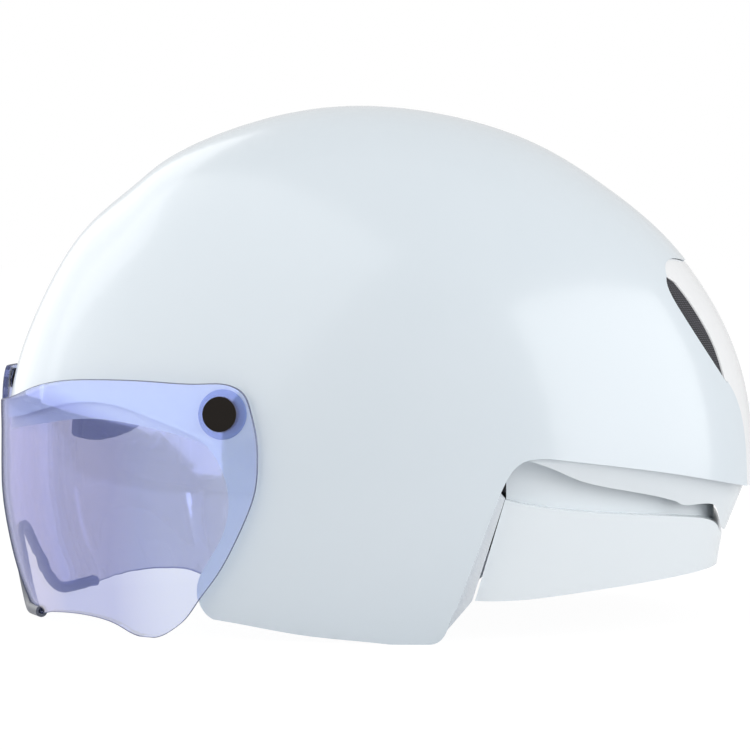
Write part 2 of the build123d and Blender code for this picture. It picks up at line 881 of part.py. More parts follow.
for side, hand in left_and_right.items():
    inside = yoke_inner - running_gap
    outside = yoke_radius + running_gap
    guide_plane = facing(yoke_y - cradle_travel)
    with BuildPart() as guide:
        with BuildSketch(guide_plane):
            with BuildLine():
                Polyline(
                    *[
                        (hand * x, z)
                        for x, z in (
                            (inside - guide_wall, arm_low - running_gap - guide_wall),
                            (outside + guide_wall, arm_low - running_gap - guide_wall),
                            (outside + guide_wall, liner_floor - guide_wall),
                            (outside + guide_flange, liner_floor - guide_wall),
                            (outside + guide_flange, liner_floor),
                            (inside - guide_wall, liner_floor),
                        )
                    ],
                    close=True,
                )
            make_face()
            with BuildLine():
                Polyline(
                    *[
                        (hand * x, z)
                        for x, z in (
                            (inside, arm_low - running_gap),
                            (outside, arm_low - running_gap),
                            (outside, arm_low + arm_height + running_gap),
                            (inside, arm_low + arm_height + running_gap),
                        )
                    ],
                    close=True,
                )
            make_face(mode=Mode.SUBTRACT)
        extrude(amount=guide_length)
    save(guide, f"cradle_guide_{side}")

housing_width = 46.0
housing_height = 20.0
housing_corner = 9.0
housing_depth = 6.0
dial_radius = 15.0
dial_thickness = 8.0
dial_grips = 18
grip_radius = 1.1
axle_radius = 3.0
dial_z = yoke_low + yoke_height / 2
housing_back = yoke_y + yoke_radius + housing_depth
dial_plane = Plane((0, housing_back, dial_z), x_dir=(-1, 0, 0), z_dir=(0, 1, 0))

with BuildPart() as yoke_core:
    with BuildSketch(Plane.XY.offset(yoke_low)):
        with Locations((0, yoke_y)):
            Circle(yoke_radius)
    extrude(amount=yoke_height)

with BuildPart() as dial_housing:
    with BuildSketch(dial_plane):
        RectangleRounded(housing_width, housing_height, housing_corner)
    extrude(amount=-housing_depth - housing_height)
    fillet(dial_housing.faces().sort_by(Axis.Y)[-1].edges(), radius=housing_depth / 4)
    add(yoke_core.part, mode=Mode.SUBTRACT)
    with BuildSketch(dial_plane):
        Circle(axle_radius + running_gap)
    extrude(amount=-housing_depth, mode=Mode.SUBTRACT)
save(dial_housing, "dial_housing")

with BuildPart() as fit_dial:
    with BuildSketch(dial_plane.offset(running_gap)):
        Circle(dial_radius)
        with PolarLocations(dial_radius, dial_grips):
            Circle(grip_radius, mode=Mode.SUBTRACT)
    extrude(amount=dial_thickness)
    fillet(fit_dial.faces().sort_by(Axis.Y)[-1].edges(), radius=grip_radius / 2)
    with BuildSketch(dial_plane.offset(running_gap)):
        Circle(axle_radius)
    extrude(amount=dial_thickness, mode=Mode.SUBTRACT)
save(fit_dial, "fit_dial")

with BuildPart() as dial_axle:
    with BuildSketch(dial_plane.offset(running_gap + dial_thickness)):
        Circle(axle_radius)
    extrude(amount=-dial_thickness - housing_depth)
save(dial_axle, "dial_axle")

nape_pad_thickness = 5.0
nape_pad_side_share = 0.28  # of the yoke's width
for side, hand in left_and_right.items():
    with BuildPart() as nape_pad:
        with BuildSketch(Plane.XY.offset(yoke_low)):
            with Locations((0, yoke_y)):
                Circle(yoke_inner)
                Circle(yoke_inner - nape_pad_thickness, mode=Mode.SUBTRACT)
            with Locations((hand * yoke_inner * 2 * nape_pad_side_share, yoke_y + yoke_inner)):
                Rectangle(yoke_inner * nape_pad_side_share * 2, yoke_inner, mode=Mode.INTERSECT)
        extrude(amount=yoke_height)
    save(nape_pad, f"nape_pad_{side}")

# Straps: front and rear webs meet in a divider with a cam lever on each side,
# and the chin strap is folded inside the cheeks
web_width = 15.0
web_thickness = 1.2
web_x = 82.4
anchor_height = 4.0
anchor_wall = 1.6
front_anchor_share = -0.130
rear_anchor_share = 0.120
divider_share = 0.003
divider_width = 38.0
divider_foot_width = 22.0
divider_height = 15.0
divider_wall = 2.2
divider_top_share = -0.230

divider_y = along(divider_share)
divider_top = level(divider_top_share)
divider_low = divider_top - divider_height
anchor_low = liner_floor - anchor_height
web_slope_share = 1.12  # a slanted web cut level is this much wider than its cloth
web_run = web_width * web_slope_share
anchor_run = web_run + 2 * anchor_wall
strap_ends = {
    "front": (along(front_anchor_share), divider_y - divider_width / 2 + web_run / 2),
    "rear": (along(rear_anchor_share), divider_y + divider_width / 2 - web_run / 2),
}

with BuildPart() as strap_anchors:
    with BuildSketch(Plane.XY.offset(anchor_low)):
        for hand in left_and_right.values():
            for anchor_y, divider_end in strap_ends.values():
                with Locations((hand * (web_x + web_thickness / 2), anchor_y)):
                    RectangleRounded(web_thickness + 2 * anchor_wall, anchor_run, web_thickness)
    extrude(amount=anchor_height)
save(strap_anchors, "strap_anchors")

for side, hand in left_and_right.items():
    web_plane = Plane.YZ.offset(hand * web_x)
    for label, (anchor_y, divider_end) in strap_ends.items():
        with BuildPart() as web:
            with BuildSketch(web_plane):
                with BuildLine():
                    Polyline(
                        (anchor_y - web_run / 2, anchor_low),
                        (anchor_y + web_run / 2, anchor_low),
                        (divider_end + web_run / 2, divider_top),
                        (divider_end - web_run / 2, divider_top),
                        close=True,
                    )
                make_face()
            extrude(amount=hand * web_thickness)
        save(web, f"strap_{label}_{side}")

divider_inside = web_x - divider_wall
divider_outside = web_x + web_thickness + divider_wall
cam_barrel = 2.0
cam_height = 10.0
cam_width = 12.0
cam_thickness = 1.6
cam_ear = 2.4
for side, hand in left_and_right.items():
    hinge_z = divider_low + cam_barrel + running_gap
    with BuildPart() as divider:
        with BuildSketch(Plane.YZ.offset(hand * divider_inside)):
            with BuildLine():
                Polyline(
                    (divider_y - divider_foot_width / 2, divider_low),
                    (divider_y + divider_foot_width / 2, divider_low),
                    (divider_y + divider_width / 2, divider_top),
                    (divider_y - divider_width / 2, divider_top),
                    close=True,
                )
            divider_face = make_face()
            fillet(divider_face.vertices().group_by(Axis.Y)[0], radius=divider_wall)
        extrude(amount=hand * (divider_outside - divider_inside))
        ear_y = (cam_width + cam_ear) / 2 + running_gap
        with BuildSketch(Plane.YZ.offset(hand * divider_inside)):
            with Locations((divider_y - ear_y, hinge_z), (divider_y + ear_y, hinge_z)):
                Rectangle(cam_ear, 2 * cam_barrel)
        extrude(amount=-hand * (2 * cam_barrel + running_gap))
    save(divider, f"strap_divider_{side}")

    hinge_x = divider_inside - cam_barrel - running_gap
    with BuildPart() as cam_lever:
        with BuildSketch(facing(divider_y - cam_width / 2)):
            with Locations((hand * hinge_x, hinge_z)):
                Circle(cam_barrel)
            with Locations((hand * (hinge_x + cam_barrel - cam_thickness / 2), hinge_z + cam_height / 2)):
                Rectangle(cam_thickness, cam_height)
        extrude(amount=-cam_width)
    save(cam_lever, f"cam_lever_{side}")

chin_fold = 3.0  # radius inside the fold
chin_low = divider_low + (divider_height - web_width) / 2
chin_front_share = -0.140
chin_back_share = -0.100
chin_front = along(chin_front_share)
chin_back = along(chin_back_share)
buckle_length = 21.0
buckle_width = 17.0
buckle_thickness = 6.0
tongue_thickness = 3.0
prong_width = 3.6
buckle_slot = 1.2  # round the tongue, in the socket's mouth
chin_inner_x = web_x - 2 * chin_fold - web_thickness
for side, hand in left_and_right.items():
    outer_leg = (hand * (web_x + web_thickness), hand * web_x)
    inner_leg = (hand * (chin_inner_x - web_thickness / 2), hand * (chin_inner_x + web_thickness / 2))
    start = divider_y - divider_width / 2
    with BuildPart() as chin_strap:
        with BuildSketch(Plane.XY.offset(chin_low)):
            with BuildLine():
                Line((outer_leg[0], start), (outer_leg[0], chin_front))
                ThreePointArc(
                    (outer_leg[0], chin_front),
                    (hand * (web_x - chin_fold), chin_front - chin_fold - web_thickness),
                    (inner_leg[0], chin_front),
                )
                Polyline(
                    (inner_leg[0], chin_front),
                    (inner_leg[0], chin_back),
                    (inner_leg[1], chin_back),
                    (inner_leg[1], chin_front),
                )
                ThreePointArc(
                    (inner_leg[1], chin_front),
                    (hand * (web_x - chin_fold), chin_front - chin_fold),
                    (outer_leg[1], chin_front),
                )
                Polyline((outer_leg[1], chin_front), (outer_leg[1], start), (outer_leg[0], start))
            make_face()
        extrude(amount=web_width)
    save(chin_strap, f"chin_strap_{side}")

buckle_middle = (chin_back + buckle_length / 2, chin_low + web_width / 2)
buckle_end = chin_back + buckle_length

with BuildPart() as buckle_socket:
    with BuildSketch(Plane.YZ.offset(-chin_inner_x - buckle_thickness / 2)):
        with Locations(buckle_middle):
            RectangleRounded(buckle_length, buckle_width, prong_width)
    extrude(amount=buckle_thickness)
    fillet(buckle_socket.faces().group_by(Axis.X)[0].edges(), radius=buckle_slot)
    with BuildSketch(facing(buckle_end)):
        with Locations((-chin_inner_x, buckle_middle[1])):
            Rectangle(tongue_thickness + buckle_slot, buckle_width - 2 * prong_width)
    extrude(amount=buckle_length / 2, mode=Mode.SUBTRACT)
save(buckle_socket, "buckle_socket")

with BuildPart() as buckle_tongue:
    with BuildSketch(Plane.YZ.offset(chin_inner_x - tongue_thickness / 2)):
        with Locations((chin_back + buckle_length / 4, buckle_middle[1])):
            RectangleRounded(buckle_length / 2, buckle_width, prong_width / 2)
        for place in (-1, 0, 1):
            prong_z = buckle_middle[1] + place * (buckle_width / 2 - prong_width / 2 - buckle_slot)
            with Locations((buckle_middle[0], prong_z)):
                RectangleRounded(buckle_length, prong_width - buckle_slot, prong_width / 4)
    extrude(amount=tongue_thickness)
save(buckle_tongue, "buckle_tongue")
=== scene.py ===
# Looks for an aero time trial helmet: white gloss shell, tinted visor, padded and webbed inside.
# Metres, +Z up. The front is -Y and the wearer's left is +X.
import json
import math

import bmesh
import bpy
import numpy as np
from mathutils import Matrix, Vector


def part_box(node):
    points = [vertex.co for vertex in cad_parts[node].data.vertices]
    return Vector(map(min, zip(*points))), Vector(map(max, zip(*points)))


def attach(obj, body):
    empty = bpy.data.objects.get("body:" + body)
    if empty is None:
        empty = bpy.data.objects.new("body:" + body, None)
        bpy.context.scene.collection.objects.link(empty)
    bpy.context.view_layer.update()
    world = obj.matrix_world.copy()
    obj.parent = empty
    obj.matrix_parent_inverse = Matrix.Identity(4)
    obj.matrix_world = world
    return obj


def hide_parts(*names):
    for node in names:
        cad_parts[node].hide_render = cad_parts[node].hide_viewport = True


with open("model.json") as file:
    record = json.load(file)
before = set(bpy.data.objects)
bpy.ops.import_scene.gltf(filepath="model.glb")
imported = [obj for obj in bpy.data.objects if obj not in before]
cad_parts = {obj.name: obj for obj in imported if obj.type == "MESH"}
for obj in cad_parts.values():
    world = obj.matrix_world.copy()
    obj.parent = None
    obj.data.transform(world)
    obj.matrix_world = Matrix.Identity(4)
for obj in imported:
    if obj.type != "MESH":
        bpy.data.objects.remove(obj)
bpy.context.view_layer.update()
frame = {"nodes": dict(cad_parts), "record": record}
nodes = frame["nodes"]
scene = bpy.context.scene
mm = 0.001
sides = ["left", "right"]


# Node helpers

def addNode(tree, kind, **values):
    # Inputs are given by socket name with underscores for spaces, and other names are properties
    node = tree.nodes.new(kind)
    for key, value in values.items():
        socketName = key.replace("_", " ")
        if socketName in node.inputs:
            node.inputs[socketName].default_value = value
        else:
            setattr(node, key, value)
    return node


def link(tree, fromNode, fromSocket, toNode, toSocket):
    tree.links.new(fromNode.outputs[fromSocket], toNode.inputs[toSocket])


def feed(tree, value, socket):
    # The value is a (node, socket) pair, a colour or a number
    if isinstance(value, tuple) and isinstance(value[0], bpy.types.Node):
        tree.links.new(value[0].outputs[value[1]], socket)
    elif isinstance(value, tuple):
        socket.default_value = (*value, 1)
    else:
        socket.default_value = value


def mathNode(tree, operation, first, second=None, clamp=False):
    node = addNode(tree, "ShaderNodeMath", operation=operation, use_clamp=clamp)
    feed(tree, first, node.inputs[0])
    if second is not None:
        feed(tree, second, node.inputs[1])
    return node


def mixShaders(tree, first, second, factor):
    # From the first shader at 0 to the second at 1
    mix = addNode(tree, "ShaderNodeMixShader")
    feed(tree, factor, mix.inputs["Fac"])
    tree.links.new(first.outputs[0], mix.inputs[1])
    tree.links.new(second.outputs[0], mix.inputs[2])
    return mix


def effectGroup(name, inputs, outputs):
    group = bpy.data.node_groups.new(name, "ShaderNodeTree")
    for socketName, value in inputs.items():
        socket = group.interface.new_socket(name=socketName, in_out="INPUT", socket_type="NodeSocketFloat")
        socket.default_value = value
    for socketName in outputs:
        group.interface.new_socket(name=socketName, in_out="OUTPUT", socket_type="NodeSocketFloat")
    return group, group.nodes.new("NodeGroupInput"), group.nodes.new("NodeGroupOutput")


def placeGroup(tree, group, **values):
    node = tree.nodes.new("ShaderNodeGroup")
    node.node_tree = group
    for key, value in values.items():
        node.inputs[key.replace("_", " ")].default_value = value
    return node


def makeGrain():
    # Fine moulded grain, or the orange peel of sprayed paint
    group, start, end = effectGroup("Grain", {"Scale": 900.0, "Detail": 3.0}, ["Height", "Shade"])
    place = addNode(group, "ShaderNodeTexCoord")
    noise = addNode(group, "ShaderNodeTexNoise")
    broad = addNode(group, "ShaderNodeTexNoise", Scale=22.0, Detail=2.0)
    for node in (noise, broad):
        link(group, place, "Object", node, "Vector")
    link(group, start, "Scale", noise, "Scale")
    link(group, start, "Detail", noise, "Detail")
    link(group, noise, "Fac", end, "Height")
    link(group, broad, "Fac", end, "Shade")
    return group


def makeWeave():
    # Threads over and under, the same in all three directions so that it runs round curves
    group, start, end = effectGroup("Weave", {"Threads": 1200.0, "Slant": 0.0}, ["Height", "Mask"])
    place = addNode(group, "ShaderNodeTexCoord")
    split = addNode(group, "ShaderNodeSeparateXYZ")
    link(group, place, "Object", split, "Vector")
    slanted = mathNode(group, "MULTIPLY", (split, "Z"), (start, "Slant"))
    across = mathNode(group, "ADD", (split, "Y"), (slanted, "Value"))
    waves = []
    for source in ((split, "X"), (across, "Value"), (split, "Z")):
        turn = mathNode(group, "MULTIPLY", source, (start, "Threads"))
        wave = mathNode(group, "SINE", (turn, "Value"))
        waves.append(mathNode(group, "ADD", (wave, "Value"), 1.0))
    first = mathNode(group, "MULTIPLY", (waves[1], "Value"), (waves[2], "Value"))
    second = mathNode(group, "MULTIPLY", (waves[0], "Value"), (waves[2], "Value"))
    total = mathNode(group, "ADD", (first, "Value"), (second, "Value"))
    height = mathNode(group, "MULTIPLY", (total, "Value"), 0.125, clamp=True)
    link(group, height, "Value", end, "Height")
    fuzz = addNode(group, "ShaderNodeTexNoise", Scale=260.0, Detail=4.0)
    link(group, place, "Object", fuzz, "Vector")
    mask = mathNode(group, "MULTIPLY", (height, "Value"), (fuzz, "Fac"), clamp=True)
    link(group, mask, "Value", end, "Mask")
    return group


def makeBeads():
    # Expanded foam: packed beads with dark seams between them
    group, start, end = effectGroup("Beads", {"Scale": 320.0}, ["Height", "Seam"])
    place = addNode(group, "ShaderNodeTexCoord")
    cells = addNode(group, "ShaderNodeTexVoronoi", feature="DISTANCE_TO_EDGE")
    link(group, place, "Object", cells, "Vector")
    link(group, start, "Scale", cells, "Scale")
    height = addNode(group, "ShaderNodeMapRange", interpolation_type="SMOOTHSTEP", From_Max=0.25)
    link(group, cells, "Distance", height, "Value")
    link(group, height, "Result", end, "Height")
    seam = mathNode(group, "SUBTRACT", 1.0, (height, "Result"), clamp=True)
    link(group, seam, "Value", end, "Seam")
    return group


def makeEdgeWear():
    # Rubbed corners, broken up by noise
    group, start, end = effectGroup("EdgeWear", {"Reach": 0.53, "Breakup": 60.0}, ["Mask"])
    shape = addNode(group, "ShaderNodeNewGeometry")
    place = addNode(group, "ShaderNodeTexCoord")
    noise = addNode(group, "ShaderNodeTexNoise", Detail=5.0)
    link(group, place, "Object", noise, "Vector")
    link(group, start, "Breakup", noise, "Scale")
    edge = addNode(group, "ShaderNodeMapRange", From_Max=0.62)
    link(group, shape, "Pointiness", edge, "Value")
    link(group, start, "Reach", edge, "From Min")
    mask = mathNode(group, "MULTIPLY", (edge, "Result"), (noise, "Fac"), clamp=True)
    link(group, mask, "Value", end, "Mask")
    return group


grain = makeGrain()
weave = makeWeave()
beads = makeBeads()
edgeWear = makeEdgeWear()
print("shared effects ready")


# Materials

def newMaterial(name, color, **values):
    # Values are inputs of the Principled BSDF
    material = bpy.data.materials.new(name)
    material.use_nodes = True
    tree = material.node_tree
    shader = tree.nodes["Principled BSDF"]
    shader.inputs["Base Color"].default_value = (*color, 1)
    for key, value in values.items():
        shader.inputs[key.replace("_", " ")].default_value = value
    return material, tree, shader


mixSockets = {"factor": 0, "low": 6, "high": 7, "result": 2}  # the Mix node's sockets for colours


def mixColors(tree, shader, factor, low, high):
    # Base colour runs from low to high with the factor
    mix = addNode(tree, "ShaderNodeMix", data_type="RGBA")
    feed(tree, factor, mix.inputs[mixSockets["factor"]])
    feed(tree, low, mix.inputs[mixSockets["low"]])
    feed(tree, high, mix.inputs[mixSockets["high"]])
    tree.links.new(mix.outputs[mixSockets["result"]], shader.inputs["Base Color"])


def bumpFrom(tree, shader, height, strength, distance):
    bump = addNode(tree, "ShaderNodeBump", Strength=strength, Distance=distance)
    feed(tree, height, bump.inputs["Height"])
    link(tree, bump, "Normal", shader, "Normal")


def varyRoughness(tree, shader, factor, low, high):
    change = addNode(tree, "ShaderNodeMapRange", To_Min=low, To_Max=high)
    feed(tree, factor, change.inputs["Value"])
    link(tree, change, "Result", shader, "Roughness")


def glossPaint(name, low, high, coat):
    material, tree, shader = newMaterial(name, high, Coat_Weight=coat, Coat_Roughness=0.12)
    peel = placeGroup(tree, grain, Scale=420.0, Detail=2.0)
    mixColors(tree, shader, (peel, "Shade"), low, high)
    varyRoughness(tree, shader, (peel, "Shade"), low=0.2, high=0.3)
    bumpFrom(tree, shader, (peel, "Height"), strength=0.04, distance=0.1 * mm)
    return material


def mouldedPlastic(name, color, worn, roughness, scale=1400.0, depth=0.3, **values):
    material, tree, shader = newMaterial(name, color, **values)
    skin = placeGroup(tree, grain, Scale=scale, Detail=4.0)
    wear = placeGroup(tree, edgeWear)
    mixColors(tree, shader, (wear, "Mask"), color, worn)
    varyRoughness(tree, shader, (skin, "Height"), low=roughness - 0.08, high=roughness + 0.1)
    bumpFrom(tree, shader, (skin, "Height"), strength=depth, distance=0.15 * mm)
    return material


def foam(name, color, seamColor, scale, depth=0.5):
    material, tree, shader = newMaterial(name, color)
    packed = placeGroup(tree, beads, Scale=scale)
    mixColors(tree, shader, (packed, "Seam"), color, seamColor)
    varyRoughness(tree, shader, (packed, "Seam"), low=0.55, high=0.85)
    bumpFrom(tree, shader, (packed, "Height"), strength=depth, distance=0.25 * mm)
    return material


def cloth(name, low, high, threads, depth, slant=0.0):
    material, tree, shader = newMaterial(name, low, Sheen_Weight=0.25, Sheen_Roughness=0.4)
    threadwork = placeGroup(tree, weave, Threads=threads, Slant=slant)
    mixColors(tree, shader, (threadwork, "Mask"), low, high)
    varyRoughness(tree, shader, (threadwork, "Height"), low=0.95, high=0.75)
    bumpFrom(tree, shader, (threadwork, "Height"), strength=0.8, distance=depth)
    return material


lensLook = {
    # Tint of one layer of the sheet, from the face back and up to its corners
    "front": (0.97, 0.88, 0.83),
    "middle": (0.71, 0.72, 0.80),
    "rear": (0.97, 1.0, 0.95),
    "middleShares": (0.3, 0.7),  # where the middle tint begins and ends between the other two
    "backShares": (0.128, 0.759),  # where the change begins and ends along the sheet's length
    "upShares": (0.739, 1.027),  # and up its height
    "backWeight": 0.85,  # how far the way back, the height and a soft swirl each move the tint
    "upWeight": 0.85,
    "swirlWeight": 0.2,
    # The tab over the front magnet is darker, in front of and above these shares of the sheet
    "tab": (0.50, 0.54, 0.60),
    "tabBackShare": 0.103,
    "tabUpShare": 0.960,
    # The blue mirror coating
    "mirror": (0.37, 0.43, 0.91),
    "mirrorShare": 0.22,
    "mirrorRoughness": 0.03,
    # Painted shade: the dark line where the eye runs along the sheet edge-on
    "edge": (0.10, 0.11, 0.16),
    "grazingShadeStart": 0.80,
    "grazingShadeFull": 0.92,
    "bending": 1.35,  # index of refraction
    "shadow": (0.68, 0.80, 0.95),  # tint of the light that it lets through onto the shell
}


def onSheet(axis, share):
    low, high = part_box("visor_lens")
    return low[axis] + share * (high[axis] - low[axis])


def spread(tree, place, axis, shares):
    # 0 to 1 between two places on the sheet, as a (node, socket) pair
    change = addNode(tree, "ShaderNodeMapRange", interpolation_type="SMOOTHSTEP")
    feed(tree, onSheet(axis, shares[0]), change.inputs["From Min"])
    feed(tree, onSheet(axis, shares[1]), change.inputs["From Max"])
    link(tree, place, "XYZ"[axis], change, "Value")
    return change, "Result"


def lensTint(tree, place):
    # A (node, socket) pair with the tint of each place on the sheet
    look = lensLook
    swirl = placeGroup(tree, grain, Scale=14.0, Detail=1.0)
    partUp = mathNode(tree, "MULTIPLY", spread(tree, place, 2, look["upShares"]), look["upWeight"])
    partBack = mathNode(tree, "MULTIPLY", spread(tree, place, 1, look["backShares"]), look["backWeight"])
    partSwirl = mathNode(tree, "MULTIPLY", (swirl, "Height"), look["swirlWeight"])
    twoParts = mathNode(tree, "ADD", (partUp, "Value"), (partBack, "Value"))
    allParts = mathNode(tree, "ADD", (twoParts, "Value"), (partSwirl, "Value"), clamp=True)
    ramp = addNode(tree, "ShaderNodeValToRGB")
    ramp.color_ramp.elements[0].color = (*look["front"], 1)
    ramp.color_ramp.elements[1].color = (*look["rear"], 1)
    for share in look["middleShares"]:
        ramp.color_ramp.elements.new(share).color = (*look["middle"], 1)
    link(tree, allParts, "Value", ramp, "Fac")
    return ramp, "Color"


def tintedLens():
    look = lensLook
    material, tree, shader = newMaterial(
        "lensTint", look["middle"], Roughness=0.0, IOR=look["bending"], Transmission_Weight=1.0
    )
    coordinates = addNode(tree, "ShaderNodeTexCoord")
    place = addNode(tree, "ShaderNodeSeparateXYZ")
    link(tree, coordinates, "Object", place, "Vector")
    above = mathNode(tree, "GREATER_THAN", (place, "Z"), onSheet(2, look["tabUpShare"]))
    inFront = mathNode(tree, "LESS_THAN", (place, "Y"), onSheet(1, look["tabBackShare"]))
    onTab = mathNode(tree, "MULTIPLY", (above, "Value"), (inFront, "Value"))
    mixColors(tree, shader, (onTab, "Value"), lensTint(tree, place), look["tab"])
    coating = addNode(
        tree, "ShaderNodeBsdfGlossy", Color=(*look["mirror"], 1), Roughness=look["mirrorRoughness"]
    )
    coated = mixShaders(tree, shader, coating, look["mirrorShare"])
    # Painted shade: a dark diffuse takes over where the sheet is seen edge-on
    facing = addNode(tree, "ShaderNodeLayerWeight", Blend=0.5)
    edge = addNode(tree, "ShaderNodeMapRange", From_Min=look["grazingShadeStart"], From_Max=look["grazingShadeFull"])
    link(tree, facing, "Facing", edge, "Value")
    dark = addNode(tree, "ShaderNodeBsdfDiffuse", Color=(*look["edge"], 1))
    grazingShaded = mixShaders(tree, coated, dark, (edge, "Result"))
    # Shadow rays pass with a tint, so that the shell behind stays lit
    paths = addNode(tree, "ShaderNodeLightPath")
    clear = addNode(tree, "ShaderNodeBsdfTransparent", Color=(*look["shadow"], 1))
    choose = mixShaders(tree, grazingShaded, clear, (paths, "Is Shadow Ray"))
    link(tree, choose, "Shader", tree.nodes["Material Output"], "Surface")
    return material


def ventMesh():
    material, tree, shader = newMaterial("ventMesh", (0.05, 0.05, 0.06))
    threadwork = placeGroup(tree, weave, Threads=8000.0, Slant=0.6)
    mixColors(tree, shader, (threadwork, "Height"), low=(0.012, 0.012, 0.015), high=(0.11, 0.11, 0.135))
    varyRoughness(tree, shader, (threadwork, "Height"), low=0.7, high=0.45)
    bumpFrom(tree, shader, (threadwork, "Height"), strength=1.0, distance=0.3 * mm)
    return material


def brushedSteel():
    material, tree, shader = newMaterial("brushedSteel", (0.55, 0.55, 0.57), Metallic=1.0)
    skin = placeGroup(tree, grain, Scale=2600.0, Detail=2.0)
    varyRoughness(tree, shader, (skin, "Height"), low=0.22, high=0.42)
    bumpFrom(tree, shader, (skin, "Height"), strength=0.15, distance=0.05 * mm)
    return material


def socketMetal():
    material, tree, shader = newMaterial("socketMetal", (0.11, 0.20, 0.45), Metallic=0.4)
    skin = placeGroup(tree, grain, Scale=900.0, Detail=2.0)
    mixColors(tree, shader, (skin, "Shade"), low=(0.09, 0.17, 0.40), high=(0.14, 0.24, 0.50))
    varyRoughness(tree, shader, (skin, "Height"), low=0.3, high=0.45)
    bumpFrom(tree, shader, (skin, "Height"), strength=0.1, distance=0.05 * mm)
    return material


finishes = {
    "shell_white": glossPaint("shellPaint", low=(0.76, 0.838, 0.895), high=(0.785, 0.855, 0.91), coat=0.6),
    "insert_white": glossPaint(
        "insertPaint", low=(0.95, 0.965, 0.98), high=(0.965, 0.975, 0.985), coat=0.6
    ),
    "skirt_white": glossPaint("skirtPlastic", low=(0.88, 0.94, 0.98), high=(0.90, 0.955, 0.99), coat=0.2),
    "foam_white": foam(
        "foamWhite", color=(0.78, 0.82, 0.86), seamColor=(0.765, 0.805, 0.85), scale=620.0, depth=0.12
    ),
    "foam_grey": foam("foamGrey", color=(0.10, 0.105, 0.115), seamColor=(0.04, 0.04, 0.045), scale=420.0),
    "mesh_dark": ventMesh(),
    "lens_tint": tintedLens(),
    "trim_grey": mouldedPlastic(
        "trimRubber", color=(0.13, 0.14, 0.165), worn=(0.24, 0.25, 0.28),
        roughness=0.34, scale=2200.0, depth=0.15,
    ),
    "magnet_black": mouldedPlastic(
        "magnetCap", color=(0.010, 0.007, 0.005), worn=(0.03, 0.025, 0.02),
        roughness=0.45, scale=2600.0, depth=0.1, Specular_IOR_Level=0.15,
    ),
    "socket_grey": socketMetal(),
    "pad_fabric": cloth(
        "padFabric", low=(0.055, 0.057, 0.066), high=(0.17, 0.17, 0.20), threads=9500.0, depth=0.08 * mm
    ),
    "web_black": cloth(
        "webbing", low=(0.012, 0.012, 0.014), high=(0.10, 0.10, 0.11),
        threads=4200.0, depth=0.3 * mm, slant=1.0,
    ),
    "fitting_black": mouldedPlastic(
        "fittingPlastic", color=(0.022, 0.022, 0.025), worn=(0.07, 0.07, 0.075), roughness=0.45
    ),
    "cradle_grey": mouldedPlastic(
        "cradlePlastic", color=(0.05, 0.05, 0.056), worn=(0.11, 0.11, 0.12), roughness=0.5, scale=1100.0
    ),
    "dial_rubber": mouldedPlastic(
        "dialRubber", color=(0.03, 0.03, 0.033), worn=(0.08, 0.08, 0.085),
        roughness=0.62, scale=1800.0, depth=0.45,
    ),
    "axle_steel": brushedSteel(),
}
slotOf = {row["node"]: row["material_slot"] for row in frame["record"]["subparts"]}
print("materials ready:", len(finishes))


def dress(piece, slotName):
    piece.data.materials.clear()
    piece.data.materials.append(finishes[slotName])


# Rigid pieces keep their CAD mesh, with rounded corners where they are plain blocks

roundedCorners = {  # corner radius in millimetres
    "strap_divider_left": 0.5,
    "strap_divider_right": 0.5,
    "buckle_socket": 0.4,
    "buckle_tongue": 0.3,
    "cam_lever_left": 0.3,
    "cam_lever_right": 0.3,
    "strap_anchors": 0.3,
    "cradle_guide_left": 0.3,
    "cradle_guide_right": 0.3,
    "cradle_yoke": 0.5,
}
cornerSettings = {"weld": 0.002 * mm, "segments": 3, "angle": 40.0}  # rounds edges sharper than the angle


def roundCorners(piece, radius):
    weld = piece.modifiers.new("weld", "WELD")
    weld.merge_threshold = cornerSettings["weld"]
    bevel = piece.modifiers.new("corners", "BEVEL")
    bevel.width = radius
    bevel.segments = cornerSettings["segments"]
    bevel.limit_method = "ANGLE"
    bevel.angle_limit = math.radians(cornerSettings["angle"])
    bevel.harden_normals = True


for name, piece in nodes.items():
    dress(piece, slotOf[name])
    if name in roundedCorners:
        roundCorners(piece, roundedCorners[name] * mm)
print("CAD nodes dressed:", len(nodes))


# Painted shade: thin dark bars stand in for the dark line that the sheet's polished edge shows round the
# visor

lensEdgeShade = {
    "radius": 0.12 * mm,
    "roundSteps": 2,
    "angle": 50.0,  # only edges sharper than this carry the line
    "weld": 0.004 * mm,
    # painted shade: the dark colour of the bars
    "color": (0.14, 0.16, 0.28),
}


def edgeShadeLine(name, node, body):
    # The node's sharp edges become thin round bars
    shape = bmesh.new()
    shape.from_mesh(nodes[node].data)
    bmesh.ops.remove_doubles(shape, verts=shape.verts, dist=lensEdgeShade["weld"])
    limit = math.radians(lensEdgeShade["angle"])
    plain = [edge for edge in shape.edges if len(edge.link_faces) != 2 or edge.calc_face_angle() < limit]
    bmesh.ops.delete(shape, geom=list(shape.faces), context="FACES_ONLY")
    bmesh.ops.delete(shape, geom=plain, context="EDGES")
    mesh = bpy.data.meshes.new(name)
    shape.to_mesh(mesh)
    shape.free()
    piece = bpy.data.objects.new(name, mesh)
    scene.collection.objects.link(piece)
    bpy.ops.object.select_all(action="DESELECT")
    piece.select_set(True)
    bpy.context.view_layer.objects.active = piece
    bpy.ops.object.convert(target="CURVE")
    piece.data.bevel_depth = lensEdgeShade["radius"]
    piece.data.bevel_resolution = lensEdgeShade["roundSteps"]
    bpy.ops.object.convert(target="MESH")
    # The bars' material carries the painted edge shade
    material, tree, shader = newMaterial("lensEdgeShade", lensEdgeShade["color"], Coat_Weight=0.4)
    skin = placeGroup(tree, grain, Scale=1500.0, Detail=2.0)
    varyRoughness(tree, shader, (skin, "Height"), low=0.15, high=0.35)
    piece.data.materials.append(material)
    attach(piece, body)


edgeShadeLine("lens_edge_shade", "visor_lens", "visor")
print("lens edge drawn")


# Padded pieces

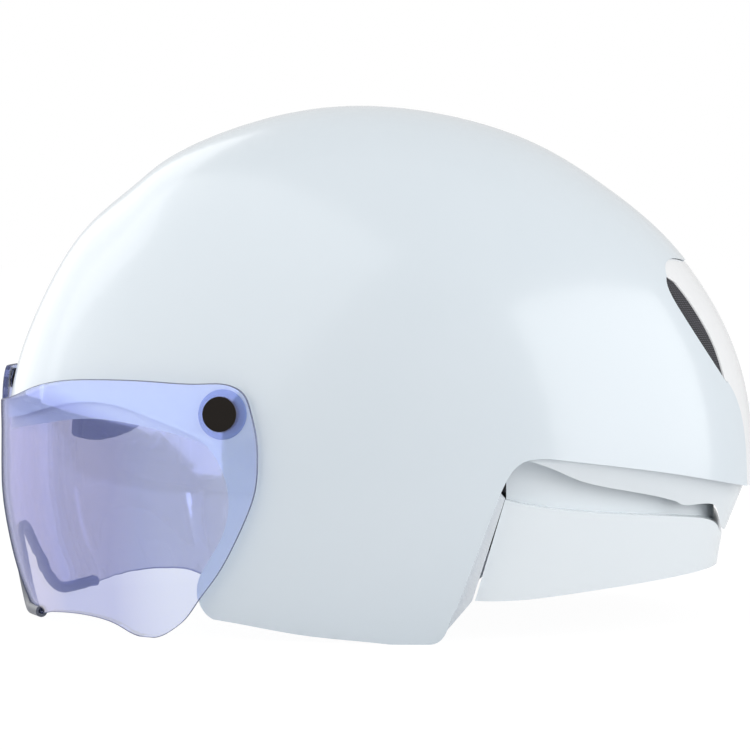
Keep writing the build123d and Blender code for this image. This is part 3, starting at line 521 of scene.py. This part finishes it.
padSettings = {
    "voxel": 2.2 * mm,
    "shrink": 0.7 * mm,  # drawn in first, because the pad swells
    "pressure": 4.0,
    "frames": 16,
    "cap": 1.6 * mm,  # furthest that a point may move
    "least": 1e-9,  # keeps a point that stays still from a division by zero
    "clothQuality": 5,
    "stiffness": 12,
    "fill": 0.65,
    "seamDepth": 0.8 * mm,
    "seamWidth": 1.3 * mm,
}
padNodes = {  # seams: an axis and the places along it, in shares of the pad's box
    "brow_pad": (0, [0.2, 0.4, 0.6, 0.8]),
    "crown_pad": (1, [0.33, 0.67]),
    "back_pad": (0, [0.33, 0.67]),
    "temple_pad_left": (1, [0.5]),
    "temple_pad_right": (1, [0.5]),
    "nape_pad_left": (0, [0.5]),
    "nape_pad_right": (0, [0.5]),
}
bodyOf = {node: body for body, members in frame["record"]["behaviour"]["bodies"].items() for node in members}


def points(mesh):
    flat = np.empty(len(mesh.vertices) * 3)
    mesh.vertices.foreach_get("co", flat)
    return flat.reshape(-1, 3)


def setPoints(mesh, coordinates):
    mesh.vertices.foreach_set("co", coordinates.ravel())
    mesh.update()


def normals(mesh):
    flat = np.empty(len(mesh.vertices) * 3)
    mesh.vertices.foreach_get("normal", flat)
    return flat.reshape(-1, 3)


def applyModifiers(piece):
    # The shape that the modifiers give becomes the mesh itself
    evaluated = piece.evaluated_get(bpy.context.evaluated_depsgraph_get())
    mesh = bpy.data.meshes.new_from_object(evaluated)
    piece.modifiers.clear()
    piece.data = mesh


def smoothShade(mesh):
    for polygon in mesh.polygons:
        polygon.use_smooth = True


def newPiece(name, mesh, slotName):
    piece = bpy.data.objects.new(name, mesh)
    scene.collection.objects.link(piece)
    dress(piece, slotName)
    smoothShade(mesh)
    return piece


def swellPad(piece, start):
    # Blown up a little as cloth, from its drawn-in shape
    swell = piece.modifiers.new("cloth", "CLOTH")
    swell.settings.quality = padSettings["clothQuality"]
    swell.settings.use_pressure = True
    swell.settings.uniform_pressure_force = padSettings["pressure"]
    swell.settings.effector_weights.gravity = 0
    swell.settings.tension_stiffness = padSettings["stiffness"]
    swell.settings.compression_stiffness = padSettings["stiffness"]
    for step in range(1, padSettings["frames"] + 1):
        scene.frame_set(step)
    applyModifiers(piece)
    scene.frame_set(1)
    move = points(piece.data) - start
    length = np.linalg.norm(move, axis=1, keepdims=True)
    move *= np.minimum(1.0, padSettings["cap"] / np.maximum(length, padSettings["least"]))
    setPoints(piece.data, start + move)


def pressSeams(piece, node, seamAxis, seamShares):
    # Soft grooves across the pad, level with its seams
    low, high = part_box(node)
    place = points(piece.data)
    depth = np.zeros(len(place))
    for share in seamShares:
        middle = low[seamAxis] + share * (high[seamAxis] - low[seamAxis])
        away = (place[:, seamAxis] - middle) / padSettings["seamWidth"]
        depth = np.maximum(depth, np.exp(-(away ** 2)))
    setPoints(piece.data, place - normals(piece.data) * (depth * padSettings["seamDepth"])[:, None])


def sewnPad(node, seamAxis, seamShares):
    piece = newPiece(node + "_cover", nodes[node].data.copy(), slotOf[node])
    remesh = piece.modifiers.new("remesh", "REMESH")
    remesh.mode = "VOXEL"
    remesh.voxel_size = padSettings["voxel"]
    applyModifiers(piece)
    start = points(piece.data) - normals(piece.data) * padSettings["shrink"]
    setPoints(piece.data, start)
    swellPad(piece, start)
    smooth = piece.modifiers.new("subdivision", "SUBSURF")
    smooth.levels = smooth.render_levels = 1
    applyModifiers(piece)
    pressSeams(piece, node, seamAxis, seamShares)
    dress(piece, slotOf[node])
    smoothShade(piece.data)
    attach(piece, bodyOf[node])
    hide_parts(node)


for padName, (seamAxis, seamShares) in padNodes.items():
    sewnPad(padName, seamAxis, seamShares)
print("pads sewn:", len(padNodes))


# Webbing

webSettings = {
    "thickness": 1.2 * mm,
    "selvedge": 0.16 * mm,  # the edges are this much thicker on each face
    "selvedgeWide": 2.2,  # width of the thick edge, in half thicknesses of it
    "selvedgeRamp": 0.6 * mm,
    "edgeSteps": 6,
    "waviness": 0.25 * mm,
    "steps": 48,
    "lean": 16.8 * mm,  # level width of a slanted web
    "runSteps": 12,  # the chin strap's outer run, its fold and its inner run
    "foldSteps": 16,
    "returnSteps": 6,
}


def webSection(width):
    # Half turns at the two edges, a raised selvedge, and a flat middle
    half = webSettings["thickness"] / 2
    edge = half + webSettings["selvedge"]
    flat = width / 2 - webSettings["selvedgeWide"] * edge - webSettings["selvedgeRamp"]
    outline = []
    for hand in (1, -1):
        start = hand * (width / 2 - edge)
        for step in range(webSettings["edgeSteps"] + 1):
            turn = math.pi * (step / webSettings["edgeSteps"] - 0.5)
            outline.append((start + hand * edge * math.cos(turn), hand * edge * math.sin(turn)))
        outline.append((hand * flat, hand * half))
        outline.append((-hand * flat, hand * half))
    return outline


def sweepWeb(name, path, wide, width, node):
    # The web's section follows the path, and wide is the direction of its width
    section = webSection(width)
    mesh = bpy.data.meshes.new(name)
    shape = bmesh.new()
    rings = []
    for index, point in enumerate(path):
        before = path[max(index - 1, 0)]
        after = path[min(index + 1, len(path) - 1)]
        face = (after - before).cross(wide).normalized()
        rings.append([shape.verts.new(point + wide * across + face * out) for across, out in section])
    for first, second in zip(rings, rings[1:]):
        for index in range(len(section)):
            following = (index + 1) % len(section)
            shape.faces.new((first[index], first[following], second[following], second[index]))
    shape.faces.new(rings[0])
    shape.faces.new(list(reversed(rings[-1])))
    bmesh.ops.recalc_face_normals(shape, faces=shape.faces)
    shape.to_mesh(mesh)
    shape.free()
    piece = newPiece(name, mesh, slotOf[node])
    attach(piece, bodyOf[node])
    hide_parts(node)


def laySideWeb(part, side):
    # From the anchor in the shell down to the divider, the front one leaning back and the rear one forward
    node = f"strap_{part}_{side}"
    hand = 1 if side == "left" else -1
    low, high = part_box(node)
    halfWidth = webSettings["lean"] / 2
    frontY = low.y + halfWidth
    backY = high.y - halfWidth
    topY, footY = (frontY, backY) if part == "front" else (backY, frontY)
    middleX = (low.x + high.x) / 2
    path = []
    for step in range(webSettings["steps"] + 1):
        share = step / webSettings["steps"]
        ripple = webSettings["waviness"] * math.sin(2 * math.pi * share) * math.sin(math.pi * share)
        y = topY + (footY - topY) * share
        z = high.z + (low.z - high.z) * share
        path.append(Vector((middleX - hand * ripple, y, z)))
    sweepWeb(f"web_{part}_{side}", path, Vector((0, 1, 0)), webSettings["lean"], node)


def layChinWeb(side):
    # Folded for storage: forward along the cheek, round, and back to the buckle
    node = f"chin_strap_{side}"
    hand = 1 if side == "left" else -1
    low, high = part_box(node)
    half = webSettings["thickness"] / 2
    outerX = hand * (max(abs(low.x), abs(high.x)) - half)
    innerX = hand * (min(abs(low.x), abs(high.x)) + half)
    radius = abs(outerX - innerX) / 2
    foldY = low.y + radius + half
    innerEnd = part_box("buckle_socket")[0].y
    z = (low.z + high.z) / 2
    path = []
    for step in range(webSettings["runSteps"]):
        path.append(Vector((outerX, high.y + (foldY - high.y) * step / webSettings["runSteps"], z)))
    for step in range(webSettings["foldSteps"] + 1):
        turn = math.pi * step / webSettings["foldSteps"]
        x = (outerX + innerX) / 2 + (outerX - innerX) / 2 * math.cos(turn)
        path.append(Vector((x, foldY - radius * math.sin(turn), z)))
    for step in range(1, webSettings["returnSteps"] + 1):
        path.append(Vector((innerX, foldY + (innerEnd - foldY) * step / webSettings["returnSteps"], z)))
    sweepWeb(f"web_chin_{side}", path, Vector((0, 0, 1)), high.z - low.z, node)


for side in sides:
    laySideWeb("front", side)
    laySideWeb("rear", side)
    layChinWeb(side)
print("webbing laid")


# Floor, backdrop, light and camera

studio = {
    "floorSize": 14.0,
    "floorColor": (0.72, 0.72, 0.73),
    "floorWhite": 1.10,  # a little over white, so that no horizon shows
    "shadowShare": 0.12,  # how much of the floor's own shading the camera sees
    "skyLight": 0.42,  # strength of the backdrop where it lights the helmet
    "glossShare": 0.55,  # how much of the white backdrop shows in reflections
}
softboxes = {  # power, size, place; each looks at the helmet
    "overheadSoftbox": (1.0, (1.6, 1.6), (0.6, 0.0, 1.6)),
    "frontSoftbox": (16.0, (2.8, 2.2), (0.66, -1.15, 1.0)),
    "farFrontSoftbox": (7.0, (1.6, 1.4), (-0.7, -1.25, 0.75)),
    "rearSoftbox": (15.0, (1.8, 1.4), (0.6, 1.45, 0.55)),
}
camera = {
    "azimuth": 97.0,
    "elevation": 3.3,
    "distance": 1.1,
    "lens": 132.0,
    "sensor": 36.0,
    "target": Vector((0, 0, 0.0941)),
}


def cameraSees(tree):
    # 1 where the camera or the lens sees the backdrop, less in reflections, 0 where it gives light
    paths = addNode(tree, "ShaderNodeLightPath")
    glossy = mathNode(tree, "MULTIPLY", (paths, "Is Glossy Ray"), studio["glossShare"])
    seen = mathNode(tree, "ADD", (paths, "Is Camera Ray"), (glossy, "Value"))
    return mathNode(tree, "ADD", (seen, "Value"), (paths, "Is Transmission Ray"), clamp=True)


def makeFloor():
    bpy.ops.mesh.primitive_plane_add(size=studio["floorSize"], location=(0, 0, 0))
    floor = bpy.context.object
    floor.name = "floor"
    material, tree, shader = newMaterial(
        "floorPaper", studio["floorColor"], Roughness=0.9, Specular_IOR_Level=0.0
    )
    seen = cameraSees(tree)
    share = mathNode(tree, "MULTIPLY", (seen, "Value"), 1 - studio["shadowShare"])
    white = addNode(tree, "ShaderNodeEmission", Strength=studio["floorWhite"])
    choose = mixShaders(tree, shader, white, (share, "Value"))
    link(tree, choose, "Shader", tree.nodes["Material Output"], "Surface")
    floor.data.materials.append(material)


def makeWorld():
    world = bpy.data.worlds.new("studio")
    world.use_nodes = True
    scene.world = world
    tree = world.node_tree
    background = tree.nodes["Background"]
    background.inputs["Color"].default_value = (1, 1, 1, 1)
    seen = cameraSees(tree)
    strength = addNode(tree, "ShaderNodeMapRange", To_Min=studio["skyLight"], To_Max=1.0)
    link(tree, seen, "Value", strength, "Value")
    link(tree, strength, "Result", background, "Strength")


def areaLight(name, power, size, place, aim):
    data = bpy.data.lights.new(name, "AREA")
    data.energy = power
    data.shape = "RECTANGLE"
    data.size, data.size_y = size
    lamp = bpy.data.objects.new(name, data)
    scene.collection.objects.link(lamp)
    lamp.location = place
    lamp.rotation_euler = (Vector(aim) - Vector(place)).to_track_quat("-Z", "Y").to_euler()


def makeCamera():
    azimuth, elevation = math.radians(camera["azimuth"]), math.radians(camera["elevation"])
    back = Vector((
        math.sin(azimuth) * math.cos(elevation),
        -math.cos(azimuth) * math.cos(elevation),
        math.sin(elevation),
    ))
    data = bpy.data.cameras.new("photoCamera")
    data.lens = camera["lens"]
    data.sensor_width = camera["sensor"]
    lens = bpy.data.objects.new("photoCamera", data)
    scene.collection.objects.link(lens)
    lens.location = camera["target"] + back * camera["distance"]
    lens.rotation_euler = (-back).to_track_quat("-Z", "Y").to_euler()
    scene.camera = lens


makeFloor()
makeWorld()
for name, (power, size, place) in softboxes.items():
    areaLight(name, power, size, place, camera["target"])
makeCamera()
scene.view_settings.view_transform = "Standard"
print("studio ready")
